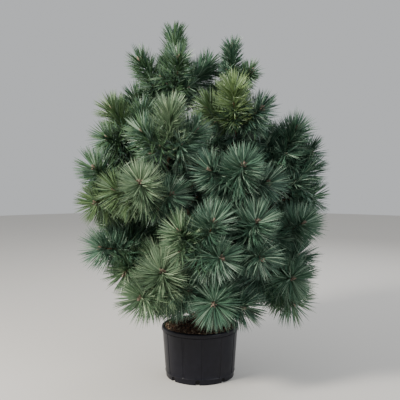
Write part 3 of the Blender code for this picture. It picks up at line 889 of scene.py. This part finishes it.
def trunk_radius(height, angle):
    """The trunk's radius at a height, with the lobes of the root flare at its foot."""
    foot, top = SOIL_TOP + GAP, trunk_top().z
    share = max(height - foot, 0.0) / (top - foot)
    plain = TRUNK_FOOT_RADIUS + (TRUNK_TOP_RADIUS - TRUNK_FOOT_RADIUS) * share ** TRUNK_TAPER
    flare = FLARE_RADIUS * math.exp(-(height - foot) / FLARE_FADE)
    return plain + flare * (1.0 - FLARE_LOBED + FLARE_LOBED * math.cos(FLARE_LOBES * angle))


def bark_relief(point, depth):
    """The depth of the bark's plates and cracks at a point."""
    place = Vector((point[0] * PLATE_SCALE, point[1] * PLATE_SCALE, point[2] * PLATE_SCALE_UP))
    cell = noise.voronoi(place)[0]
    crack = min((cell[1] - cell[0]) * CRACK_SHARPNESS, 1.0)
    rough = noise.fractal(place * ROUGH_SCALE, *ROUGH_NOISE)
    return depth * (crack - PLATE_LEVEL + ROUGH_SHARE * rough)


def make_trunk(finish):
    """The trunk, with its bark in relief, from the mulch up to the leader's node."""
    foot = SOIL_TOP + GAP
    top = node_of(LEADER)[0].z - TRUNK_SHORT
    rings = []
    for step in range(TRUNK_STEPS):
        share = step / (TRUNK_STEPS - 1)
        height = foot - TRUNK_SUNK + share * (top - SOIL_TOP)
        centre = trunk_centre(max(height, foot))
        centre.z = height
        depth = TRUNK_RELIEF * (1.0 - TRUNK_RELIEF_FADE * share)
        ring = []
        for side in range(TRUNK_SIDES):
            angle = 2.0 * math.pi * side / TRUNK_SIDES
            out = Vector((math.cos(angle), math.sin(angle), 0.0))
            point = centre + out * trunk_radius(max(height, foot), angle)
            ring.append(tuple(point + out * bark_relief(point, depth)))
        rings.append(ring)
    tubes = Tubes()
    tubes.add(np.array(rings))
    add_piece("trunk_bark", tubes.mesh("trunk_bark"), finish, ["trunk"])


def limb_curve(bough):
    """The limb's centre line as a function of a share from 0 to 1."""
    node, along = node_of(bough)
    end = node - along * (NODE_BACK + GAP / 2.0)
    foot_height = min(max(bough.height - LIMB_DROP * bough.reach, LOWEST_FOOT), HIGHEST_FOOT)
    start = trunk_centre(foot_height)
    control = end - along * (LIMB_BOW * (end - start).length)
    return lambda t: start * (1 - t) ** 2 + control * 2 * t * (1 - t) + end * t ** 2


def make_boughs(finish):
    """All boughs as one piece, from inside the trunk's bark to their nodes."""
    tubes = Tubes()
    for bough in BOUGHS:
        curve = limb_curve(bough)
        shares = [step / (LIMB_STEPS - 1) for step in range(LIMB_STEPS)] + [1.0]
        centres = [tuple(curve(share)) for share in shares]
        centres[-1] = tuple(node_of(bough)[0])
        radii = []
        for share, (x, y, z) in zip(shares, centres):
            plain = LIMB_FOOT_RADIUS + (LIMB_TIP_RADIUS - LIMB_FOOT_RADIUS) * share ** LIMB_TAPER
            collar = LIMB_COLLAR * math.exp(-share * LIMB_COLLAR_FADE)
            depth = LIMB_RELIEF * (1.0 - LIMB_RELIEF_FADE * share)
            row = []
            for side in range(LIMB_SIDES):
                angle = 2.0 * math.pi * side / LIMB_SIDES
                probe = (x + LIMB_PROBE * math.cos(angle), y + LIMB_PROBE * math.sin(angle), z)
                row.append(plain + collar + bark_relief(probe, depth))
            radii.append(row)
        tubes.add(tube_rings(centres, radii, LIMB_SIDES))
    replaced = ["bough_" + bough.name for bough in BOUGHS]
    add_piece("bough_bark", tubes.mesh("bough_bark"), finish, replaced)


# Shoots

Shoot = namedtuple("Shoot", "mass foot tip radius kind tint")


def side_angle(rise):
    """How far side shoots lean from their terminal shoot: less where that one is steep."""
    return SIDE_ANGLE - SIDE_CLOSING * max(rise - STEEP_RISE, 0.0)


def shoots_of(bough):
    """The terminal shoot of a mass and the whorl of side shoots at its foot."""
    node, along = node_of(bough)
    length = LEADER_LENGTH if bough is LEADER else SHOOT_LENGTH
    tints = MASS_TINTS.get(bough.name, (None,) * (bough.side_shoots + 1))
    tip = node + along * length
    shoots = [Shoot(bough.name, node, tip, LIMB_TIP_RADIUS, "terminal", tints[0])]
    for number, tint in enumerate(tints[1:]):
        turn = bough.turn + 360.0 * number / bough.side_shoots
        way = fan_way(along, turn, side_angle(bough.rise))
        tip = node + way * SIDE_SHARE * length
        shoots.append(Shoot(bough.name, node, tip, TWIG_RADIUS, "side", tint))
    return shoots


def fan_way(along, turn, lean):
    """The direction that leans from another one by an angle, to the side that a turn gives."""
    level, over = side_axes(along)
    turn, lean = math.radians(turn), math.radians(lean)
    aside = math.cos(turn) * over + math.sin(turn) * level
    return math.cos(lean) * along + math.sin(lean) * aside


def fine_shoots(bough, shoots, chance):
    """Finer shoots: a few on the bare part of each shoot, and along the bough."""
    made = []
    radius = TWIG_RADIUS * FINE_TWIG_SHARE
    count = FINE_PER_LEADER_SHOOT if bough is LEADER else FINE_PER_SHOOT
    for shoot in shoots:
        span = shoot.tip - shoot.foot
        start = chance.uniform(0.0, 360.0)
        for number in range(count):
            turn = start + 360.0 * number / count + chance.uniform(-FINE_TURN, FINE_TURN)
            way = fan_way(span.normalized(), turn, FINE_ANGLE)
            foot = shoot.foot + span * chance.uniform(*FINE_PLACES)
            length = FINE_LENGTH * chance.uniform(*FINE_LENGTHS)
            made.append(Shoot(bough.name, foot, foot + way * length, radius, "fine", shoot.tint))
    if bough is LEADER:
        return made
    curve = limb_curve(bough)
    for number in range(FINE_PER_LIMB):
        share = INNER_START + INNER_REACH * (number + chance.random()) / FINE_PER_LIMB
        foot = curve(share)
        along = (curve(min(share + INNER_PROBE, 1.0)) - foot).normalized()
        way = fan_way(along, chance.uniform(0.0, 360.0), FINE_ANGLE)
        way = (way + Vector((0.0, 0.0, INNER_LIFT))).normalized()
        length = FINE_LENGTH * chance.uniform(*INNER_LENGTHS)
        made.append(Shoot(bough.name, foot, foot + way * length, radius, "inner", None))
    return made


def trunk_shoots(chance):
    """Short shoots that close the crown round the trunk."""
    low, high = TRUNK_SHOOT_HEIGHTS
    made = []
    for number in range(TRUNK_SHOOTS):
        foot = trunk_centre(low + (high - low) * (number + chance.random()) / TRUNK_SHOOTS)
        way = direction(TRUNK_SHOOT_START + number * TRUNK_SHOOT_TURN, TRUNK_SHOOT_RISE)
        tip = foot + way * chance.uniform(*TRUNK_SHOOT_LENGTHS)
        made.append(Shoot("trunk", foot, tip, TWIG_RADIUS, "inner", None))
    return made


def make_twigs(shoots, finish):
    """The shoots' own wood: tapering, slightly bent, uneven with leaf scars."""
    tubes = Tubes()
    chance = np.random.RandomState(TWIG_SEED)
    for shoot in shoots:
        steps, sides = FINE_TWIG_RINGS, FINE_TWIG_SIDES
        if shoot.kind in ("terminal", "side"):
            steps, sides = MAIN_TWIG_RINGS, MAIN_TWIG_SIDES
        foot, tip = np.array(shoot.foot), np.array(shoot.tip)
        shares = np.linspace(0.0, 1.0, steps)
        sag = chance.normal(0.0, TWIG_SAG, 3)
        centres = foot + (tip - foot) * shares[:, None] + sag * np.sin(math.pi * shares)[:, None]
        radii = shoot.radius * (1.0 - TWIG_TAPER * shares)
        radii = radii[:, None] * chance.uniform(*TWIG_UNEVEN, (steps, sides))
        tubes.add(tube_rings(centres, radii, sides))
    add_piece("twigs", tubes.mesh("twigs"), finish)


def bud_rings(base, along, length, radius):
    """One pointed bud, ringed by its scales."""
    centres = np.array(base) + np.array(along) * (length * np.array(BUD_SHARES))[:, None]
    return tube_rings(centres, radius * np.array(BUD_SWELL), BUD_SIDES)


def make_buds(shoots, finish):
    """A cluster of winter buds at each main shoot's tip, and one on each finer shoot that grows
    from a shoot; the inner shoots have none.
    """
    tubes = Tubes()
    chance = random.Random("buds")
    for shoot in shoots:
        if shoot.kind == "inner":
            continue
        along = (shoot.tip - shoot.foot).normalized()
        size = FINE_BUD_SIZE if shoot.kind == "fine" else 1.0
        base = shoot.tip - along * BUD_SUNK
        tubes.add(bud_rings(base, along, END_BUD_LENGTH * size, END_BUD_RADIUS * size))
        if shoot.kind == "fine":
            continue
        start = chance.uniform(0.0, 360.0)
        for number in range(SIDE_BUDS):
            aside = fan_way(along, start + 360.0 * number / SIDE_BUDS, 90.0)
            way = (along + SIDE_BUD_LEAN * aside).normalized()
            foot = base + aside * SIDE_BUD_ASIDE
            tubes.add(bud_rings(foot, way, SIDE_BUD_LENGTH, SIDE_BUD_RADIUS))
    add_piece("buds", tubes.mesh("buds"), finish)


# Needles

def unit_rows(values):
    """Each row of an array as a unit vector."""
    return values / np.maximum(np.linalg.norm(values, axis=1), TINY)[:, None]


def needle_fan(centre, along, radius, lean, longest, chance):
    """Roots, directions, bending directions and lengths of needle pairs round an axis."""
    count = len(centre)
    level = unit_rows(np.cross(along, np.array([0.0, 0.0, 1.0])))
    over = np.cross(level, along)
    turn = chance.uniform(0.0, 2.0 * math.pi, count)
    lean = np.radians(np.clip(lean + chance.normal(0.0, LEAN_JITTER, count), *LEAN_RANGE))
    aside = np.cos(turn)[:, None] * over + np.sin(turn)[:, None] * level
    way = np.cos(lean)[:, None] * along + np.sin(lean)[:, None] * aside
    root = centre + aside * radius
    flat = unit_rows(along - way * np.sum(way * along, axis=1)[:, None])
    flat = flat * BEND_ALONG + np.array([0.0, 0.0, BEND_LIFT])
    flat = unit_rows(flat - way * np.sum(flat * way, axis=1)[:, None])
    spin = chance.uniform(0.0, math.pi, count)
    split = np.cos(spin)[:, None] * np.cross(way, flat) + np.sin(spin)[:, None] * flat
    split = split * (PAIR_SPREAD * chance.uniform(*PAIR_SPREADS, count))[:, None]
    way = unit_rows(np.concatenate([way + split, way - split]))
    root, flat = np.concatenate([root, root]), np.concatenate([flat, flat])
    flat = unit_rows(flat - way * np.sum(flat * way, axis=1)[:, None])
    length = np.concatenate([longest, longest]) * chance.uniform(*LENGTH_SPREAD, 2 * count)
    return root, way, flat, length


def shoot_needles(shoot, chance):
    """The needles of one shoot: a closed brush where it stands upright, else an open whorl."""
    kind = LEADER_KINDS.get(shoot.kind, shoot.kind) if shoot.mass == "leader" else shoot.kind
    count = PAIRS[kind]
    span = np.array(shoot.tip - shoot.foot)
    along = np.tile(span / np.linalg.norm(span), (count, 1))
    rise = max(math.degrees(math.asin(along[0, 2])), 0.0)
    first = FIRST_NEEDLE[kind]
    share = chance.uniform(0.0, 1.0, count) ** CROWDING
    centre = np.array(shoot.foot) + span * (first + (LAST_NEEDLE - first) * share)[:, None]
    lean = OUTER_LEAN + (INNER_LEAN - OUTER_LEAN) * share ** LEAN_POWER
    lean -= CLOSING * max(rise - CLOSING_START, 0.0) * (1.0 - TIP_OPENING * share ** LEAN_POWER)
    height = np.interp(shoot.tip.z, HIGH_RANGE, (0.0, 1.0))
    longest = LONGEST_NEEDLE[kind] * (1.0 - HIGH_SHORTENING * height)
    longest *= MASS_LENGTHS.get(shoot.mass, 1.0)
    longest = longest * (1.0 - TIP_SHORTENING * share ** TIP_POWER)
    return needle_fan(centre, along, shoot.radius * ROOT_DEPTH, lean, longest, chance)


def bough_needles(bough, chance):
    """The older needles that a bough still carries along its outer part."""
    curve = limb_curve(bough)
    count = PAIRS["bough"]
    shares = BOUGH_NEEDLES_START + (1.0 - BOUGH_NEEDLES_START) * chance.uniform(0.0, 1.0, count)
    centre = np.array([curve(share) for share in shares])
    along = unit_rows(np.array([curve(share + BOUGH_PROBE) - curve(share - BOUGH_PROBE)
                                for share in shares]))
    lean = np.full(count, BOUGH_LEAN)
    longest = np.full(count, BOUGH_NEEDLE_LENGTH)
    return needle_fan(centre, along, LIMB_TIP_RADIUS * BOUGH_ROOT_DEPTH, lean, longest, chance)


def keep_in_space(root, way, length, low, high):
    """Shorten needles at the solids' box, and drop those in the pot or the mulch."""
    tip = root + way * length[:, None]
    share = np.ones(len(length))
    for axis in range(3):
        over = tip[:, axis] - high[axis] + BOX_MARGIN
        under = low[axis] + BOX_MARGIN - tip[:, axis]
        for excess in (over, under):
            out = excess > 0.0
            step = np.abs(way[:, axis] * length)
            share[out] = np.minimum(share[out], 1.0 - excess[out] / np.maximum(step[out], TINY))
    length = length * np.clip(share, 0.0, 1.0)
    tip = root + way * length[:, None]
    in_pot = np.hypot(tip[:, 0], tip[:, 1]) < RIM_RADIUS + POT_CLEAR
    in_pot &= tip[:, 2] < POT_HEIGHT + POT_CLEAR
    keep = (length > SHORTEST_NEEDLE) & ~in_pot
    return keep, length


def needle_mesh(name, root, way, flat, length, width, bend):
    """Three-sided needles in one mesh: a ring at the root, one at the shoulder, and the tip.

    The root is left open, because it lies in the wood or against it.
    """
    count = len(root)
    across = np.cross(way, flat)
    middle = root + way * (NEEDLE_SHOULDER * length)[:, None]
    middle += flat * (bend * NEEDLE_SHOULDER ** 2 * length)[:, None]
    tip = root + way * length[:, None] + flat * (bend * length)[:, None]
    points = np.empty((count, NEEDLE_POINTS, 3), dtype=np.float32)
    half = (width / 2.0)[:, None]
    for ring, (centre, size) in enumerate(((root, ROOT_WIDTH), (middle, 1.0))):
        first = NEEDLE_SIDES * ring
        points[:, first] = centre + across * half * size
        points[:, first + 1] = centre - across * half * size
        points[:, first + 2] = centre + flat * half * size * NEEDLE_RIDGE
    points[:, -1] = tip
    quads, triangles = [], []
    for here in range(NEEDLE_SIDES):
        after = (here + 1) % NEEDLE_SIDES
        quads += [here, after, NEEDLE_SIDES + after, NEEDLE_SIDES + here]
        triangles += [NEEDLE_SIDES + here, NEEDLE_SIDES + after, NEEDLE_POINTS - 1]
    starts = NEEDLE_POINTS * np.arange(count)[:, None]
    corners = (starts + np.array(quads + triangles)[None, :]).ravel()
    sizes = np.tile([4] * NEEDLE_SIDES + [3] * NEEDLE_SIDES, count)
    return mesh_of_polygons(name, points.reshape(-1, 3), corners, sizes, smooth=False)


def tint_of(shoot, chance):
    """A shoot's tint: its own, or warmer on the left as painted sunlight and bluer on the right
    as painted shade; deep inside as painted shade.
    """
    if shoot.kind == "inner":
        return chance.choice(INNER_SHADE_TINTS)
    if shoot.kind == "fine" and chance.random() < SHADED_FINE_SHARE:
        return "deep"
    if shoot.tint:
        return shoot.tint
    side = shoot.tip.x + chance.gauss(0.0, TINT_SPREAD)
    for limit, tints in SUN_AND_SHADE_SIDE_TINTS:
        if side < limit:
            return chance.choice(tints)


def make_needles(shoots, low, high):
    """All needles, grown shoot by shoot and bough by bough, gathered by tint into pieces."""
    bins = {tint: [] for tint in TINTS}
    chooser = random.Random("tints")
    chance = np.random.RandomState(NEEDLE_SEED)
    sprays = [(tint_of(shoot, chooser), shoot_needles(shoot, chance)) for shoot in shoots]
    # Bough needles take the dark tints of painted shade inside the crown
    sprays += [(chooser.choice(BOUGH_SHADE_TINTS), bough_needles(bough, chance)) for bough in BOUGHS]
    for tint, (root, way, flat, length) in sprays:
        keep, length = keep_in_space(root, way, length, low, high)
        # The paler needles are painted glints and the deeper ones painted shade, dealt out at
        # random
        draw = chance.uniform(0.0, 1.0, len(length))
        paler = draw < GLINT_SHARE
        deeper = draw > 1.0 - SHADED_SHARE
        plain = ~paler & ~deeper
        for name, chosen in ((tint, plain), (GLINT_TINT_OF[tint], paler), (SHADE_TINT_OF[tint], deeper)):
            chosen = chosen & keep
            bins[name].append((root[chosen], way[chosen], flat[chosen], length[chosen]))
    masses = ["needles_" + bough.name for bough in (LEADER,) + BOUGHS]
    for tint, parts in bins.items():
        if not parts:
            continue
        finish = needle_material(tint)
        arrays = [np.concatenate([part[column] for part in parts]) for column in range(4)]
        count = len(arrays[0])
        pieces = max(1, math.ceil(count / PIECE_LIMIT))
        for number, chosen in enumerate(np.array_split(np.arange(count), pieces)):
            root, way, flat, length = [values[chosen] for values in arrays]
            width = NEEDLE_WIDTH * chance.uniform(*WIDTH_SPREAD, len(root))
            bend = NEEDLE_BEND * chance.uniform(*BEND_SPREAD, len(root))
            name = f"needles_{tint}_{number + 1}"
            mesh = needle_mesh(name, root, way, flat, length, width, bend)
            add_piece(name, mesh, finish, masses)


def main():
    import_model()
    low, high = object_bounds()
    make_camera()
    make_floor()
    make_light()
    make_pot(pot_material())
    make_mulch()
    bark = grained_material("pine_bark")
    make_trunk(bark)
    make_boughs(bark)
    chance = random.Random("fine shoots")
    shoots = []
    for bough in (LEADER,) + BOUGHS:
        main_shoots = shoots_of(bough)
        shoots += main_shoots + fine_shoots(bough, main_shoots, chance)
    shoots += trunk_shoots(chance)
    make_twigs(shoots, grained_material("young_twig"))
    make_buds(shoots, grained_material("bud_scales"))
    make_needles(shoots, low, high)
    low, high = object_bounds()


main()
